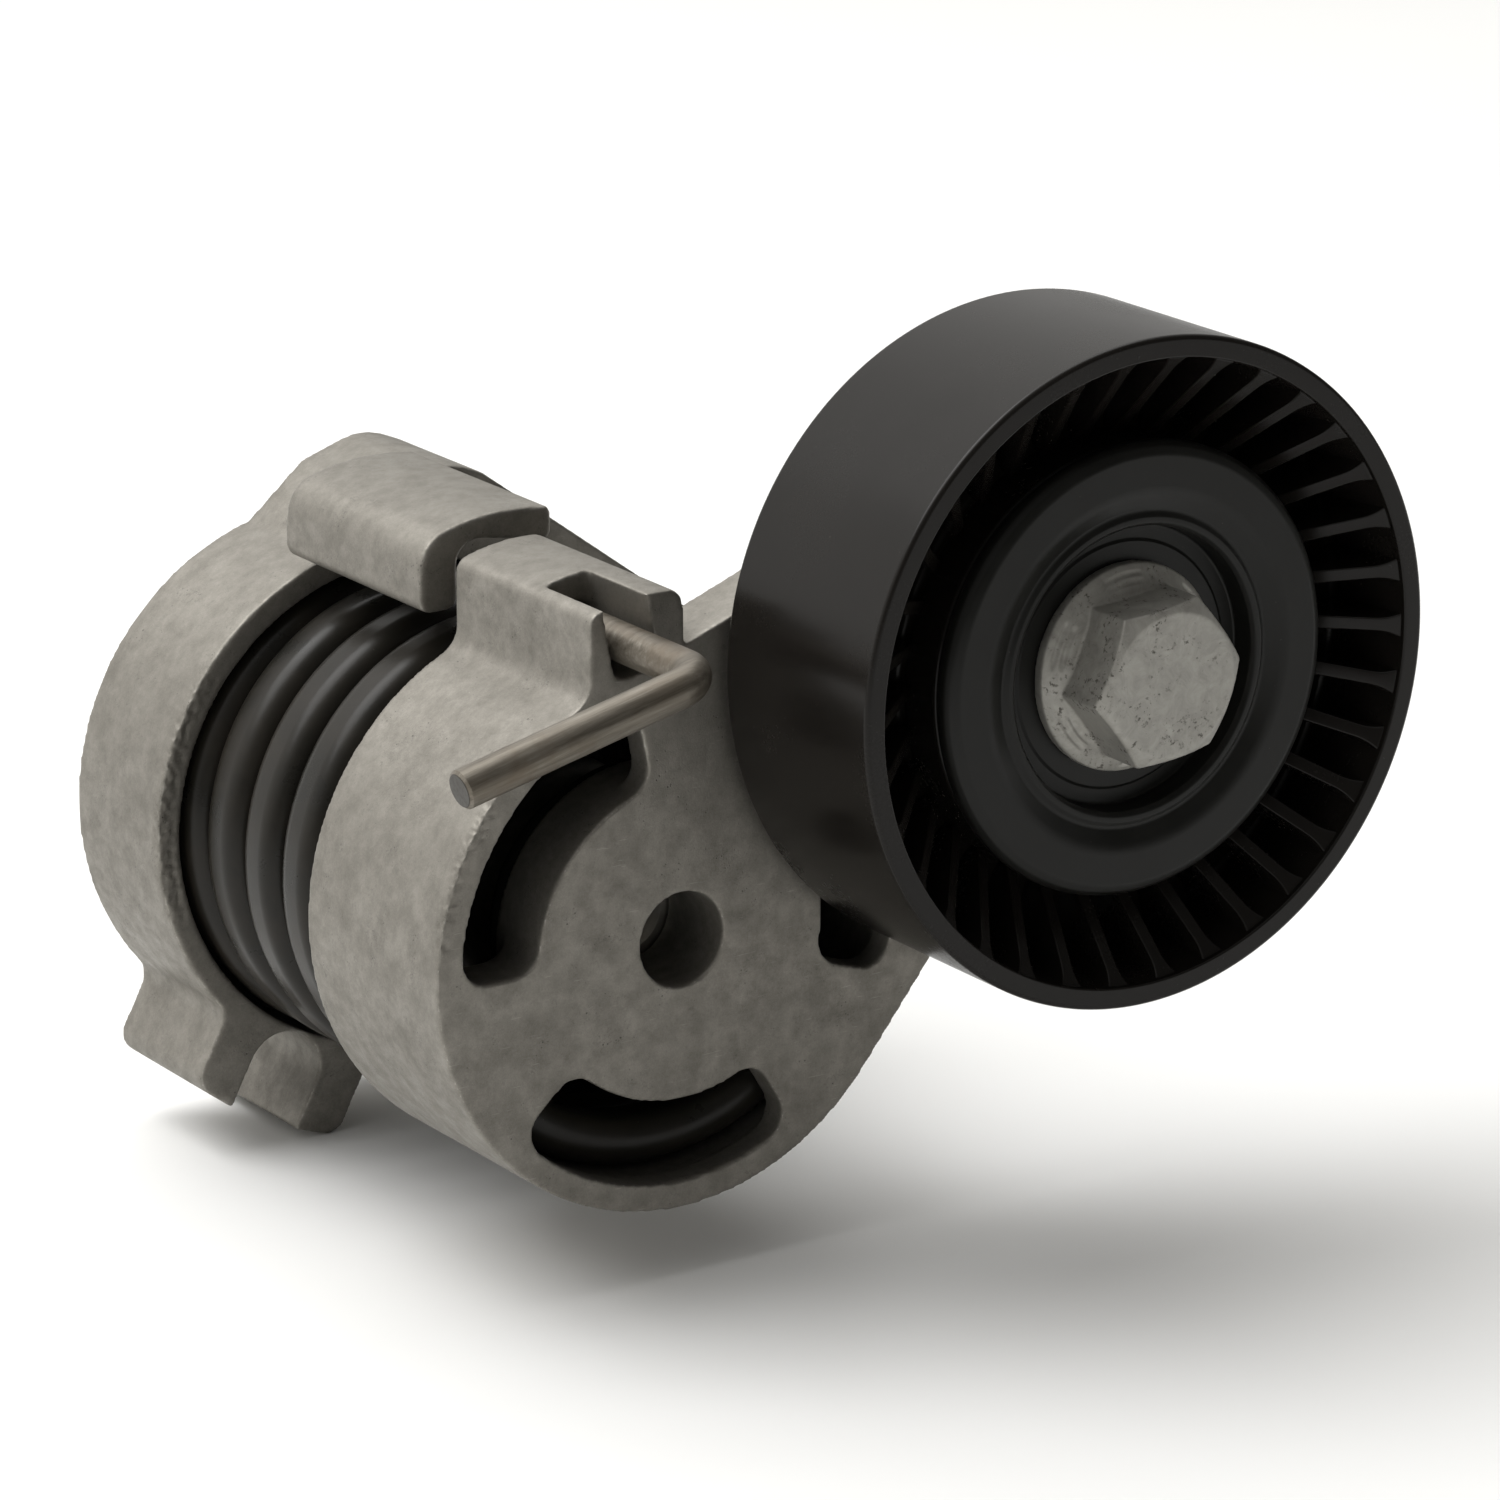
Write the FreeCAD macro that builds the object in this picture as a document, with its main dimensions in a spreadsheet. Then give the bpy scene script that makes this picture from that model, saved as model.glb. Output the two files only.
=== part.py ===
import FreeCAD, Part
import math
import os

import Sketcher
from FreeCAD import Placement, Rotation, Vector

# Automatic belt tensioner: a die-cast base bolted to the engine, a torsion spring, a die-cast arm
# turning on a hollow steel pin, a ribbed plastic idler pulley on a deep-groove ball bearing, and the
# L-shaped pin that holds the arm until the belt is on.
#
# Every piece is drawn standing on the base's rear mounting face: its local Z runs along the pivot
# axis, away from the engine, from 0 at that face.  The finished assembly is then tipped forward, so
# that X points right, Y points back along the pivot axis and Z points up.  The origin stays where
# the pivot axis meets the rear mounting face.

SIZES = {
    # base casting, levels along the pivot axis
    "base_floor": 6.0, "base_front": 18.1, "base_boss_top": 24.0, "hook_front": 44.9,
    # base casting, radii
    "base_radius": 29.9, "cup_radius": 27.1, "base_boss_radius": 13.0, "recess_radius": 14.6,
    "recess_floor": 3.4,
    # mounting lugs
    "slot_angle": -118.0, "slot_reach": 32.0, "slot_half_width": 4.4, "slot_lug_half_width": 9.9,
    "slot_lug_reach": 38.4, "bolt_hole_across": 32.8, "bolt_hole_up": 9.0, "bolt_hole_radius": 4.4,
    "bolt_lug_radius": 8.5,
    # pivot
    "pin_radius": 8.0, "pin_bore": 3.2, "pin_tail_radius": 6.0, "pin_tail_end": 0.0,
    "pin_mouth": 1.0, "pin_shoulder": 2.4, "pin_front": 63.8, "running_gap": 0.05, "bush_radius": 9.5,
    "bush_flange_radius": 12.6, "bush_front": 25.2, "retainer_radius": 14.0, "retainer_rear": 0.6,
    "washer_rear": 2.45,
    # spring and its seats
    "seat_thickness": 2.4, "seat_lip": 1.6, "spring_radius": 23.6, "spring_wire_across": 5.4, "spring_wire_along": 6.9,
    "spring_wire_round": 1.9, "spring_pitch": 7.9, "spring_turns": 7.0, "spring_start_angle": 339.5,
    # arm casting
    "arm_rear": 48.4, "arm_front": 74.4, "arm_radius": 29.2, "skirt_bore": 26.7,
    "plate_thickness": 3.5, "web_rear": 66.9, "boss_radius": 16.5, "hub_radius": 13.0,
    "hub_rear": 25.25, "front_hole_radius": 5.0, "window_inner": 17.3,
    "window_outer": 26.2, "window_start": 102.0, "window_span": 79.0, "window_corner": 2.9,
    "collar_rear": 65.8, "window_wall_rear": 67.9, "column_radius": 12.0, "column_rear": 60.4,
    # lug on the arm that carries the locking pin
    "groove_floor": 29.6, "groove_half_width": 2.55, "groove_rear": 63.4, "lock_angle": 100.4,
    "lock_reach": 32.6, "lock_radius": 2.05, "lock_hole_radius": 2.12, "lock_tip": 45.3,
    "lock_elbow": 87.4, "lock_bend": 3.2, "lock_handle": 29.1, "lock_handle_turn": 193.5,
    # where the pulley sits
    "centre_distance": 48.1, "arm_angle": 35.9,
    # idler pulley
    "pulley_radius": 35.0, "pulley_rear": 76.3, "pulley_front": 101.3, "rim_inner": 32.7,
    "web_back": 87.3, "web_front": 90.3, "pulley_hub_radius": 23.2, "pulley_hub_rear": 81.4,
    "pulley_hub_front": 96.2, "lip_radius": 19.2, "rib_half_width": 0.72, "rib_foot": 1.9,
    "rib_top": 100.75, "rib_low_front": 91.9, "rib_bottom": 76.9, "rib_low_rear": 85.7,
    "rib_count": 34,
    # ball bearing, 17 x 40 x 12
    "bearing_rear": 82.8, "bearing_front": 94.8, "bearing_middle": 88.8, "bearing_radius": 20.0,
    "bearing_bore": 8.5, "inner_land": 12.1, "outer_land": 16.5, "ball_orbit": 14.25,
    "ball_radius": 3.37, "race_radius": 3.45, "ball_count": 8, "cage_inner": 12.9,
    "cage_outer": 15.6, "cage_thickness": 0.6, "cage_pocket": 3.48, "cage_shell": 4.05,
    "rivet_radius": 0.6, "rivet_half_length": 1.0, "seal_thickness": 0.8, "seal_inner": 12.25,
    # spigot, shield, cover and bolt
    "spigot_radius": 8.45, "spigot_front": 94.3, "shoulder_radius": 11.4, "shoulder_front": 81.6,
    "shield_radius": 15.6, "thread_radius": 5.0, "thread_hole": 5.05, "bolt_tip": 64.0,
    "seat_front": 96.0, "flange_radius": 10.9, "flange_edge": 1.2, "hex_across_flats": 16.0,
    "hex_bottom": 98.8, "head_top": 104.9, "head_flat_radius": 7.5,
    "cover_radius": 23.7, "cover_sheet": 1.0, "cover_face": 99.3, "cover_flat_start": 18.6,
    "cover_flat_end": 22.0, "cover_skirt": 97.2, "cover_lip": 98.7, "cover_lip_radius": 15.6,
    "cover_valley": 98.3, "cover_valley_radius": 16.5, "cover_well": 14.9, "cover_groove": 95.8,
    "cover_seat_radius": 12.8,
}

doc = FreeCAD.newDocument("BeltTensioner")
sheet = doc.addObject("Spreadsheet::Sheet", "dims")
for row, (name, size) in enumerate(SIZES.items(), start=1):
    sheet.set(f"A{row}", name)
    sheet.set(f"B{row}", str(size))
    sheet.setAlias(f"B{row}", name)
doc.recompute()

ON_PIVOT = Placement(Vector(), Rotation(Vector(1, 0, 0), 90))
PLATE_REAR = "arm_front - plate_thickness"
SUBPARTS = []


def amount(text):
    """Value of a sum of sizes, such as 'arm_front - plate_thickness + 1.5'."""
    total, sign = 0.0, 1
    for word in str(text).split():
        if word in "+-":
            sign = 1 if word == "+" else -1
        else:
            total += sign * (sheet.get(word) if word in SIZES else float(word))
    return total


def bound(text):
    """The same sum as an expression that reads the sheet."""
    return " ".join(f"dims.{word}" if word in SIZES else word for word in str(text).split())


def bind(thing, path, text):
    thing.setExpression(path, bound(text))


def polar(radius, degrees):
    angle = math.radians(degrees)
    return Vector(radius * math.cos(angle), radius * math.sin(angle), 0)


def turned_point(along, across, degrees):
    """A point given along and across a radial direction."""
    return polar(along, degrees) + polar(across, degrees + 90)


# ---------------------------------------------------------------- sketches and features

def settle(piece, at_pulley=False):
    """Give a finished sub-part its place: on the pivot axis, or on the pulley's own axis."""
    piece.Placement = ON_PIVOT
    if at_pulley:
        piece.setExpression(".Placement.Base.x", "dims.centre_distance * cos(dims.arm_angle * 1 deg)")
        piece.setExpression(".Placement.Base.z", "dims.centre_distance * sin(dims.arm_angle * 1 deg)")
    SUBPARTS.append(piece)
    return piece


def new_body(label):
    body = doc.addObject("PartDesign::Body", label)
    body.Label = label
    return body


def new_sketch(body, role="XY_Plane", level=None):
    sketch = body.newObject("Sketcher::SketchObject", f"{body.Name}_sketch")
    plane = next(item for item in body.Origin.OriginFeatures if item.Role == role)
    sketch.AttachmentSupport = [(plane, "")]
    sketch.MapMode = "FlatFace"
    if level is not None:
        bind(sketch, "AttachmentOffset.Base.z", level)
    return sketch


def add_circle(sketch, radius, centre=("0", "0")):
    across, up = centre
    where = Vector(amount(across), amount(up), 0)
    index = sketch.addGeometry(Part.Circle(where, Vector(0, 0, 1), amount(radius)))
    for kind, text in (("DistanceX", across), ("DistanceY", up)):
        held = sketch.addConstraint(Sketcher.Constraint(kind, index, 3, amount(text)))
        bind(sketch, f"Constraints[{held}]", text)
    held = sketch.addConstraint(Sketcher.Constraint("Radius", index, amount(radius)))
    bind(sketch, f"Constraints[{held}]", radius)


def add_profile(sketch, corners):
    """Closed straight-sided outline whose corners are pairs of sums of sizes, each bound."""
    points = [Vector(amount(across), amount(up), 0) for across, up in corners]
    first = sketch.GeometryCount
    count = len(points)
    for i in range(count):
        sketch.addGeometry(Part.LineSegment(points[i], points[(i + 1) % count]))
    for i in range(count):
        following = first + (i + 1) % count
        sketch.addConstraint(Sketcher.Constraint("Coincident", first + i, 2, following, 1))
        for kind, text in zip(("DistanceX", "DistanceY"), corners[i]):
            held = sketch.addConstraint(Sketcher.Constraint(kind, first + i, 1, amount(text)))
            bind(sketch, f"Constraints[{held}]", text)


def add_rounded_outline(sketch, corners):
    """Closed outline through (point, radius) corners; each corner is an arc tangent to its sides."""
    count = len(corners)
    ends = []
    arcs = []
    for i, (corner, radius) in enumerate(corners):
        back = (corners[i - 1][0] - corner).normalize()
        ahead = (corners[(i + 1) % count][0] - corner).normalize()
        if radius == 0:
            ends.append((corner, corner))
            continue
        half = back.getAngle(ahead) / 2
        setback = radius / math.tan(half)
        depth = radius / math.sin(half) - radius
        start, finish = corner + back * setback, corner + ahead * setback
        arcs.append(Part.Arc(start, corner + (back + ahead).normalize() * depth, finish))
        ends.append((start, finish))
    for arc in arcs:
        sketch.addGeometry(arc)
    for i in range(count):
        leaving, arriving = ends[i][1], ends[(i + 1) % count][0]
        if leaving.distanceToPoint(arriving) > 1e-6:
            sketch.addGeometry(Part.LineSegment(leaving, arriving))
    for index in range(sketch.GeometryCount):
        sketch.addConstraint(Sketcher.Constraint("Block", index))


def pad(body, sketch, length):
    feature = body.newObject("PartDesign::Pad", f"{body.Name}_pad")
    feature.Profile = sketch
    bind(feature, "Length", length)
    return feature


def pocket(body, sketch, length):
    """Cut from the sketch's level upwards; the volume must fall."""
    doc.recompute()
    before = body.Shape.Volume
    feature = body.newObject("PartDesign::Pocket", f"{body.Name}_pocket")
    feature.Profile = sketch
    feature.Reversed = True
    bind(feature, "Length", length)
    doc.recompute()
    if body.Shape.Volume >= before - 1e-3:
        raise RuntimeError(f"{feature.Name} cuts nothing")
    return feature


def turn(body, sketch, kind="Revolution"):
    feature = body.newObject(f"PartDesign::{kind}", f"{body.Name}_turn")
    feature.Profile = sketch
    feature.ReferenceAxis = (sketch, ["V_Axis"])
    feature.Angle = 360
    return feature


def groove(body, add_shape):
    """Turned cut, checked by volume; add_shape draws its section."""
    doc.recompute()
    before = body.Shape.Volume
    sketch = new_sketch(body, "XZ_Plane")
    add_shape(sketch)
    turn(body, sketch, "Groove")
    doc.recompute()
    if body.Shape.Volume >= before - 1e-3:
        raise RuntimeError(f"groove in {body.Label} cuts nothing")


def around(body, features, count):
    """Repeat features about the body's own axis."""
    pattern = body.newObject("PartDesign::PolarPattern", f"{body.Name}_pattern")
    pattern.Originals = features
    axis = next(item for item in body.Origin.OriginFeatures if item.Role == "Z_Axis")
    pattern.Axis = (axis, [""])
    pattern.Angle = 360
    pattern.Occurrences = int(amount(count))
    body.Tip = pattern
    return pattern


def soften(body, kind, size, wanted):
    """Fillet or chamfer the edges that wanted(edge) picks."""
    doc.recompute()
    tip = body.Tip
    names = [f"Edge{i}" for i, edge in enumerate(tip.Shape.Edges, start=1) if wanted(edge)]
    if not names:
        raise RuntimeError(f"no edge to soften on {body.Label}")
    feature = body.newObject(f"PartDesign::{kind}", f"{body.Name}_{kind.lower()}")
    feature.Base = (tip, names)
    if kind == "Fillet":
        feature.Radius = size
    else:
        feature.Size = size
    body.Tip = feature
    doc.recompute()


def upright_edge(centre, reach, low, high):
    """Test for an edge along the axis, between two levels, near a point."""
    def wanted(edge):
        box = edge.BoundBox
        on_axis = box.XLength < 0.01 and box.YLength < 0.01 and box.ZLength > 0.5
        near = math.hypot(box.XMin - centre.x, box.YMin - centre.y) < reach
        return on_axis and near and box.ZMin > amount(low) - 0.01 and box.ZMax < amount(high) + 0.01
    return wanted


def turned_piece(label, corners, at_pulley=False):
    """A piece turned from one straight-sided section."""
    body = new_body(label)
    sketch = new_sketch(body, "XZ_Plane")
    add_profile(sketch, corners)
    turn(body, sketch)
    return settle(body, at_pulley)


def ring_section(inner, outer, low, high):
    return [(inner, low), (outer, low), (outer, high), (inner, high)]


# ---------------------------------------------------------------- base

def base_housing():
    body = new_body("base_housing")

    drum = new_sketch(body)
    add_circle(drum, "base_radius")
    pad(body, drum, "base_front")

    # U-slot lug, square to its own radial direction
    angle, side, reach = amount("slot_angle"), amount("slot_lug_half_width"), amount("slot_lug_reach")
    shoulder = reach - 1.6
    lug = new_sketch(body)
    add_rounded_outline(lug, [
        (turned_point(20, -side, angle), 0), (turned_point(shoulder, -side, angle), 2.2),
        (turned_point(reach, 0, angle), 30), (turned_point(shoulder, side, angle), 2.2),
        (turned_point(20, side, angle), 0)])
    pad(body, lug, "base_front")

    # upper ear: it carries the hook and runs down to the second bolt lug
    ear = new_sketch(body)
    add_rounded_outline(ear, [
        (Vector(-16, 16, 0), 0), (Vector(-9.4, 27.6, 0), 6), (Vector(-1.2, 34.6, 0), 4),
        (Vector(6.5, 37.3, 0), 8), (Vector(11.2, 35.3, 0), 2), (Vector(37.7, 15.9, 0), 0),
        (Vector(36.9, 1.6, 0), 0), (Vector(27.5, -11, 0), 0),
        (Vector(0, 0, 0), 0)])
    pad(body, ear, "base_front")
    bolt_lug = new_sketch(body)
    add_circle(bolt_lug, "bolt_lug_radius", ("bolt_hole_across", "bolt_hole_up"))
    pad(body, bolt_lug, "base_front")

    # hook: a J-shaped channel that reaches forward over the locking pin
    hook = new_sketch(body, level="base_front - 1.0")
    add_rounded_outline(hook, [
        (Vector(-12.9, 29.4, 0), 1.2), (Vector(-12.9, 37.2, 0), 4.5), (Vector(-4.4, 39.4, 0), 24),
        (Vector(3.1, 38.8, 0), 0.9), (Vector(3.1, 35.2, 0), 0.7), (Vector(-8.4, 36.9, 0), 2.6),
        (Vector(-8.4, 29.4, 0), 1.2)])
    pad(body, hook, "hook_front - base_front + 1.0")

    cup = new_sketch(body, level="base_floor")
    add_circle(cup, "cup_radius")
    pocket(body, cup, "base_front - base_floor")

    boss = new_sketch(body)
    add_circle(boss, "base_boss_radius")
    pad(body, boss, "base_boss_top")
    bore = new_sketch(body)
    add_circle(bore, "bush_radius")
    pocket(body, bore, "base_boss_top")
    recess = new_sketch(body)
    add_circle(recess, "recess_radius")
    pocket(body, recess, "recess_floor")

    bolt_hole = new_sketch(body)
    add_circle(bolt_hole, "bolt_hole_radius", ("bolt_hole_across", "bolt_hole_up"))
    pocket(body, bolt_hole, "base_front")

    # open-ended slot: a round end joined to parallel sides that run out of the lug
    half, centre = amount("slot_half_width"), amount("slot_reach")
    slot = new_sketch(body)
    top = [turned_point(centre, half, angle), turned_point(centre - half, 0, angle),
           turned_point(centre, -half, angle)]
    mouth = [turned_point(reach + 5, -half, angle), turned_point(reach + 5, half, angle)]
    slot.addGeometry(Part.Arc(*top))
    slot.addGeometry(Part.LineSegment(top[2], mouth[0]))
    slot.addGeometry(Part.LineSegment(mouth[0], mouth[1]))
    slot.addGeometry(Part.LineSegment(mouth[1], top[0]))
    for index in range(slot.GeometryCount):
        slot.addConstraint(Sketcher.Constraint("Block", index))
    pocket(body, slot, "base_front")

    soften(body, "Fillet", 2.5, upright_edge(turned_point(28.2, -side, angle), 1.5, "0", "base_front"))
    return settle(body)


def torsion_spring():
    """Flattened wire wound right-handed between the two seats; its two ends are cut square."""
    radius, across, along = (amount(name) for name in
                             ("spring_radius", "spring_wire_across", "spring_wire_along"))
    corner = amount("spring_wire_round")
    start = Placement(Vector(0, 0, amount("base_floor + seat_thickness + 0.1") + along / 2),
                      Rotation(Vector(0, 0, 1), amount("spring_start_angle")))
    edges = []
    for i in range(4):
        wide, tall = (across, along) if i % 2 == 0 else (along, across)
        spin = Rotation(Vector(0, 0, 1), 90 * i)
        side_start, side_end, mid_corner, next_side = (spin.multVec(point) for point in (
            Vector(wide / 2, corner - tall / 2, 0), Vector(wide / 2, tall / 2 - corner, 0),
            Vector(wide / 2 - corner, tall / 2 - corner, 0) + polar(corner, 45),
            Vector(wide / 2 - corner, tall / 2, 0)))
        edges += [Part.LineSegment(side_start, side_end).toShape(),
                  Part.Arc(side_end, mid_corner, next_side).toShape()]
    section = Part.Wire(edges)
    section.Placement = start.multiply(Placement(Vector(radius, 0, 0), Rotation(Vector(1, 0, 0), 90)))
    pitch = amount("spring_pitch")
    helix = Part.makeHelix(pitch, pitch * amount("spring_turns"), radius)
    helix.Placement = start
    piece = doc.addObject("Part::Feature", "torsion_spring")
    piece.Label = "torsion_spring"
    piece.Shape = Part.Wire(helix.Edges).makePipeShell([section], True, True)
    return settle(piece)


def base_pieces():
    base_housing()
    turned_piece("pivot_bush", [
        ("pin_radius + running_gap", "recess_floor"), ("bush_radius", "recess_floor"),
        ("bush_radius", "base_boss_top"), ("bush_flange_radius", "base_boss_top"),
        ("bush_flange_radius", "bush_front"), ("pin_radius + running_gap", "bush_front")])
    turned_piece("rear_friction_washer", ring_section(
        "pin_radius + running_gap", "retainer_radius", "washer_rear", "recess_floor"))
    turned_piece("rear_spring_seat", [
        ("base_boss_radius + 0.1", "base_floor"), ("cup_radius - 0.1", "base_floor"),
        ("cup_radius - 0.1", "base_floor + seat_thickness"),
        ("base_boss_radius + 0.1 + seat_lip", "base_floor + seat_thickness"),
        ("base_boss_radius + 0.1 + seat_lip", "base_floor + seat_thickness + 3"),
        ("base_boss_radius + 0.1", "base_floor + seat_thickness + 3")])
    torsion_spring()


# ---------------------------------------------------------------- arm

def kidney_outline(sketch):
    """Arc-sided window between two radii and two radial sides, with a round in each corner."""
    corner = amount("window_corner")
    inner, outer = amount("window_inner"), amount("window_outer")
    middle = amount("window_start") + amount("window_span") / 2
    half_span = amount("window_span") / 2
    touching = {}
    for side in (-1, 1):
        edge = middle + side * half_span
        for name, radius, centre_radius in (("inner", inner, inner + corner),
                                            ("outer", outer, outer - corner)):
            set_in = math.degrees(math.asin(corner / centre_radius))
            centre = polar(centre_radius, edge - side * set_in)
            on_arc = polar(radius, edge - side * set_in)
            on_side = polar(centre_radius * math.cos(math.radians(set_in)), edge)
            halfway = centre + (on_arc + on_side - centre * 2).normalize() * corner
            sketch.addGeometry(Part.Arc(on_arc, halfway, on_side))
            touching[name, side] = on_arc, on_side
        sketch.addGeometry(Part.LineSegment(touching["inner", side][1], touching["outer", side][1]))
    for name, radius in (("inner", inner), ("outer", outer)):
        sketch.addGeometry(Part.Arc(touching[name, -1][0], polar(radius, middle), touching[name, 1][0]))
    for index in range(sketch.GeometryCount):
        sketch.addConstraint(Sketcher.Constraint("Block", index))


def arm_housing():
    body = new_body("arm_housing")
    pulley_at = polar(amount("centre_distance"), amount("arm_angle"))
    pulley_centre = (f"{pulley_at.x:.4f}", f"{pulley_at.y:.4f}")
    tangent = math.degrees(math.asin(amount("arm_radius - boss_radius") / amount("centre_distance")))
    upper, lower = (amount("arm_angle") + side * (90 - tangent) for side in (1, -1))

    drum = new_sketch(body, level="arm_rear")
    add_circle(drum, "arm_radius")
    pad(body, drum, "arm_front - arm_rear")

    # front plate: drum and boss joined by their common tangents
    plate = new_sketch(body, level=PLATE_REAR)
    around_drum = [polar(amount("arm_radius"), turn_to) for turn_to in (upper, lower)]
    around_boss = [pulley_at + polar(amount("boss_radius"), turn_to) for turn_to in (upper, lower)]
    add_rounded_outline(plate, [(around_drum[0], 0), (around_boss[0], 0),
                                (around_boss[1], 0), (around_drum[1], 0)])
    pad(body, plate, "plate_thickness")
    boss = new_sketch(body, level="web_rear")
    add_circle(boss, "boss_radius", pulley_centre)
    pad(body, boss, "arm_front - web_rear")

    # deeper web behind the plate, from just right of the lug out to the boss
    web = new_sketch(body, level="web_rear")
    slope = (around_boss[0] - around_drum[0]).normalize()
    add_rounded_outline(web, [
        (around_drum[0] + slope * 10, 0), (around_boss[0], 0), (around_boss[1], 0),
        (around_drum[1], 0), (polar(amount("skirt_bore") + 1.5, amount("arm_angle")), 0)])
    pad(body, web, f"{PLATE_REAR} - web_rear")
    column = new_sketch(body, level="column_rear")
    add_circle(column, "column_radius", pulley_centre)
    pad(body, column, "web_rear - column_rear")
    shoulder = new_sketch(body, level="arm_front")
    add_circle(shoulder, "shoulder_radius", pulley_centre)
    pad(body, shoulder, "shoulder_front - arm_front")
    spigot = new_sketch(body, level="shoulder_front")
    add_circle(spigot, "spigot_radius", pulley_centre)
    pad(body, spigot, "spigot_front - shoulder_front")
    thread = new_sketch(body, level="column_rear")
    add_circle(thread, "thread_hole", pulley_centre)
    pocket(body, thread, "spigot_front - column_rear")

    # lug for the locking pin
    lug = new_sketch(body, level="arm_rear")
    add_rounded_outline(lug, [
        (Vector(-10.9, 24.8, 0), 0), (Vector(-10.9, 35.9, 0), 1.6), (Vector(-5.4, 37.5, 0), 22),
        (Vector(0.3, 37.2, 0), 1.9), (Vector(0.3, 26.8, 0), 0)])
    pad(body, lug, "arm_front - arm_rear")

    # the skirt is hollowed once everything outside it is on, then the hub stands inside it
    hollow = new_sketch(body, level="arm_rear")
    add_circle(hollow, "skirt_bore")
    pocket(body, hollow, f"{PLATE_REAR} - arm_rear")
    hub = new_sketch(body, level="hub_rear")
    add_circle(hub, "hub_radius")
    pad(body, hub, "arm_front - hub_rear")

    # deeper walls inside the windows: a collar round the hub, and a block at the left one's lower end
    collar = new_sketch(body, level="collar_rear")
    add_circle(collar, "window_inner")
    pad(body, collar, "arm_front - collar_rear")
    end_wall = new_sketch(body, level="window_wall_rear")
    end_inner, end_outer = amount("window_inner") - 3, amount("skirt_bore") + 0.7
    wall_start, wall_end = 170, 192
    add_rounded_outline(end_wall, [
        (polar(end_inner, wall_start), 0), (polar(end_outer, wall_start), 0),
        (polar(end_outer, wall_end), 0), (polar(end_inner, wall_end), 0)])
    pad(body, end_wall, f"{PLATE_REAR} - window_wall_rear")

    half, way = amount("groove_half_width"), amount("lock_angle")
    floor = amount("groove_floor")
    slot = new_sketch(body, level="groove_rear")
    add_rounded_outline(slot, [
        (turned_point(floor, -half, way), 1.2), (turned_point(floor, half, way), 1.2),
        (turned_point(floor + 12, half, way), 0), (turned_point(floor + 12, -half, way), 0)])
    pocket(body, slot, "arm_front - groove_rear")
    pin_at = polar(amount("lock_reach"), way)
    pin_hole = new_sketch(body, level="arm_rear")
    add_circle(pin_hole, "lock_hole_radius", (f"{pin_at.x:.4f}", f"{pin_at.y:.4f}"))
    pocket(body, pin_hole, "groove_rear - arm_rear")

    # central bore: the pin from behind, a smaller hole through the plate
    bore = new_sketch(body, level="hub_rear")
    add_circle(bore, "pin_radius")
    pocket(body, bore, "pin_front - hub_rear")
    front_hole = new_sketch(body, level="pin_front")
    add_circle(front_hole, "front_hole_radius")
    pocket(body, front_hole, "arm_front - pin_front")

    window = new_sketch(body, level="collar_rear")
    kidney_outline(window)
    around(body, [pocket(body, window, "arm_front - collar_rear")], "3")
    soften(body, "Fillet", 3.0, upright_edge(Vector(-10.9, 27.1, 0), 0.4, "arm_rear", "arm_front"))
    return settle(body)


def locking_pin():
    """Round wire: a leg through the lug, one bend, and a handle lying across the arm's front."""
    pin_at = polar(amount("lock_reach"), amount("lock_angle"))
    bend, elbow = amount("lock_bend"), amount("lock_elbow")
    body = new_body("locking_pin")
    path = new_sketch(body, "XZ_Plane")
    tip = Vector(0, amount("lock_tip"), 0)
    straight_end = Vector(0, elbow - bend, 0)
    handle_start = Vector(bend, elbow, 0)
    middle = Vector(bend, elbow - bend, 0) + polar(bend, 135)
    path.addGeometry(Part.LineSegment(tip, straight_end))
    path.addGeometry(Part.Arc(straight_end, middle, handle_start))
    path.addGeometry(Part.LineSegment(handle_start, Vector(amount("lock_handle"), elbow, 0)))
    for index in range(path.GeometryCount):
        path.addConstraint(Sketcher.Constraint("Block", index))
    section = new_sketch(body, level="lock_tip")
    add_circle(section, "lock_radius")
    wire = body.newObject("PartDesign::AdditivePipe", "locking_pin_wire")
    wire.Profile = section
    wire.Spine = path
    doc.recompute()
    soften(body, "Chamfer", 0.35, lambda edge: isinstance(edge.Curve, Part.Circle)
           and abs(edge.Length - 2 * math.pi * amount("lock_radius")) < 0.05
           and (edge.BoundBox.ZMax < amount("lock_tip") + 0.01
                or edge.BoundBox.XMin > amount("lock_handle") - 0.01))
    settle(body)
    swing = Placement(pin_at, Rotation(Vector(0, 0, 1), amount("lock_handle_turn")))
    body.Placement = ON_PIVOT.multiply(swing)


def dust_cover():
    body = new_body("dust_cover")
    sketch = new_sketch(body, "XZ_Plane")
    add_profile(sketch, [
        ("thread_radius + 0.3", "bearing_front"), ("cover_well", "bearing_front"),
        ("cover_well + cover_sheet", "bearing_front + cover_sheet"),
        ("cover_valley_radius", "cover_valley - cover_sheet"),
        ("cover_flat_start", "cover_face - cover_sheet"), ("cover_flat_end", "cover_face - cover_sheet"),
        ("cover_radius - cover_sheet", "cover_face - cover_sheet - 0.7"),
        ("cover_radius - cover_sheet", "cover_skirt"), ("cover_radius", "cover_skirt"),
        ("cover_radius", "cover_face - 1.1"), ("cover_radius - 0.5", "cover_face - 0.4"),
        ("cover_flat_end + 0.4", "cover_face"), ("cover_flat_start", "cover_face"),
        ("cover_valley_radius", "cover_valley"), ("cover_lip_radius + 0.3", "cover_lip"),
        ("cover_lip_radius - 0.3", "cover_lip"), ("cover_well", "cover_lip - 0.5"),
        ("cover_well - 0.2", "cover_groove"), ("cover_seat_radius + 0.3", "cover_groove"),
        ("cover_seat_radius", "seat_front"), ("thread_radius + 0.3", "seat_front")])
    turn(body, sketch)
    return settle(body, at_pulley=True)


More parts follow.
